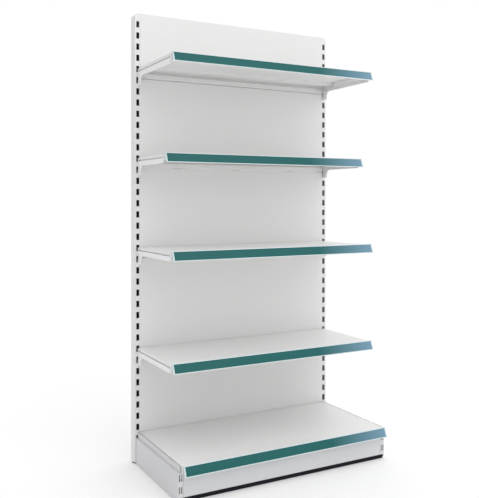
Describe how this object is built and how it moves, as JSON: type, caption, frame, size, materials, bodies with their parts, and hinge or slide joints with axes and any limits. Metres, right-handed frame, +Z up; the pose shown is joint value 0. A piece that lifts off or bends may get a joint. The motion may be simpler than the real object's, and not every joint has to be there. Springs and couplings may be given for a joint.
{
  "type": "gondola shelving unit",
  "caption": "Single-sided store shelving bay: slotted uprights and back panels carry bracketed decks with slanted ticket rails above a plinth base.",
  "frame": {"origin": "floor level, in the middle of the bounding box's width and depth", "axes": "+X along the bay to the right seen from the front, -Y towards the front, +Z up"},
  "size_m": [1.03, 0.5714, 2.015],
  "materials": {
    "white_steel": "white powder coat, satin",
    "rail_plastic": "extruded, glossy, milky clear",
    "ticket_strip": "teal, smooth",
    "zinc_steel": "bright zinc plate",
    "black_rubber": "black, matt",
    "foot_plastic": "black moulded",
    "cap_plastic": "white moulded"
  },
  "bodies": {
    "frame": {"upright_left": "white_steel", "upright_cap_left": "cap_plastic", "base_foot_left": "white_steel", "foot_cover_left": "white_steel", "foot_bolts_left": "zinc_steel", "upright_right": "white_steel", "upright_cap_right": "cap_plastic", "base_foot_right": "white_steel", "foot_cover_right": "white_steel", "foot_bolts_right": "zinc_steel", "tie_rail_bottom": "white_steel", "tie_rail_middle": "white_steel", "tie_rail_top": "white_steel", "rail_screws": "zinc_steel", "back_panel_1": "white_steel", "back_panel_2": "white_steel", "back_panel_3": "white_steel", "back_panel_4": "white_steel", "back_panel_5": "white_steel", "panel_clips": "zinc_steel", "level_lock_nuts": "zinc_steel", "kick_clips": "zinc_steel"},
    "brackets_1": {"bracket_1_left": "white_steel", "bracket_1_right": "white_steel"},
    "shelf_1": {"shelf_1": "white_steel", "stiffener_1": "white_steel", "ticket_rail_1": "rail_plastic"},
    "strip_1": {"ticket_strip_1": "ticket_strip"},
    "brackets_2": {"bracket_2_left": "white_steel", "bracket_2_right": "white_steel"},
    "shelf_2": {"shelf_2": "white_steel", "stiffener_2": "white_steel", "ticket_rail_2": "rail_plastic"},
    "strip_2": {"ticket_strip_2": "ticket_strip"},
    "brackets_3": {"bracket_3_left": "white_steel", "bracket_3_right": "white_steel"},
    "shelf_3": {"shelf_3": "white_steel", "stiffener_3": "white_steel", "ticket_rail_3": "rail_plastic"},
    "strip_3": {"ticket_strip_3": "ticket_strip"},
    "brackets_4": {"bracket_4_left": "white_steel", "bracket_4_right": "white_steel"},
    "shelf_4": {"shelf_4": "white_steel", "stiffener_4": "white_steel", "ticket_rail_4": "rail_plastic"},
    "strip_4": {"ticket_strip_4": "ticket_strip"},
    "base_deck": {"base_shelf": "white_steel", "base_stiffener": "white_steel", "base_ticket_rail": "rail_plastic"},
    "base_strip": {"base_ticket_strip": "ticket_strip"},
    "kickplate": {"kickplate": "white_steel", "kick_seal": "black_rubber"},
    "level_front_left": {"level_foot_front_left": "foot_plastic"},
    "level_front_right": {"level_foot_front_right": "foot_plastic"},
    "level_rear_left": {"level_foot_rear_left": "foot_plastic"},
    "level_rear_right": {"level_foot_rear_right": "foot_plastic"}
  },
  "joints": [
    {"name": "brackets_1_unhook", "type": "slide", "parent": "frame", "child": "brackets_1", "axis": [0, 0, 1], "range_m": [0, 0.012]},
    {"name": "shelf_1_lift", "type": "slide", "parent": "brackets_1", "child": "shelf_1", "axis": [0, 0, 1], "range_m": [0, 0.06]},
    {"name": "strip_1_slide", "type": "slide", "parent": "shelf_1", "child": "strip_1", "axis": [1, 0, 0], "range_m": [0, 0.25]},
    {"name": "brackets_2_unhook", "type": "slide", "parent": "frame", "child": "brackets_2", "axis": [0, 0, 1], "range_m": [0, 0.012]},
    {"name": "shelf_2_lift", "type": "slide", "parent": "brackets_2", "child": "shelf_2", "axis": [0, 0, 1], "range_m": [0, 0.06]},
    {"name": "strip_2_slide", "type": "slide", "parent": "shelf_2", "child": "strip_2", "axis": [1, 0, 0], "range_m": [0, 0.25]},
    {"name": "brackets_3_unhook", "type": "slide", "parent": "frame", "child": "brackets_3", "axis": [0, 0, 1], "range_m": [0, 0.012]},
    {"name": "shelf_3_lift", "type": "slide", "parent": "brackets_3", "child": "shelf_3", "axis": [0, 0, 1], "range_m": [0, 0.06]},
    {"name": "strip_3_slide", "type": "slide", "parent": "shelf_3", "child": "strip_3", "axis": [1, 0, 0], "range_m": [0, 0.25]},
    {"name": "brackets_4_unhook", "type": "slide", "parent": "frame", "child": "brackets_4", "axis": [0, 0, 1], "range_m": [0, 0.012]},
    {"name": "shelf_4_lift", "type": "slide", "parent": "brackets_4", "child": "shelf_4", "axis": [0, 0, 1], "range_m": [0, 0.06]},
    {"name": "strip_4_slide", "type": "slide", "parent": "shelf_4", "child": "strip_4", "axis": [1, 0, 0], "range_m": [0, 0.25]},
    {"name": "base_deck_lift", "type": "slide", "parent": "frame", "child": "base_deck", "axis": [0, 0, 1], "range_m": [0, 0.06]},
    {"name": "base_strip_slide", "type": "slide", "parent": "base_deck", "child": "base_strip", "axis": [1, 0, 0], "range_m": [0, 0.25]},
    {"name": "kickplate_pull", "type": "slide", "parent": "frame", "child": "kickplate", "axis": [0, -1, 0], "range_m": [0, 0.06]},
    {"name": "level_front_left_screw", "type": "slide", "parent": "frame", "child": "level_front_left", "axis": [0, 0, 1], "range_m": [-0.01, 0.002]},
    {"name": "level_front_right_screw", "type": "slide", "parent": "frame", "child": "level_front_right", "axis": [0, 0, 1], "range_m": [-0.01, 0.002]},
    {"name": "level_rear_left_screw", "type": "slide", "parent": "frame", "child": "level_rear_left", "axis": [0, 0, 1], "range_m": [-0.01, 0.002]},
    {"name": "level_rear_right_screw", "type": "slide", "parent": "frame", "child": "level_rear_right", "axis": [0, 0, 1], "range_m": [-0.01, 0.002]}
  ]
}
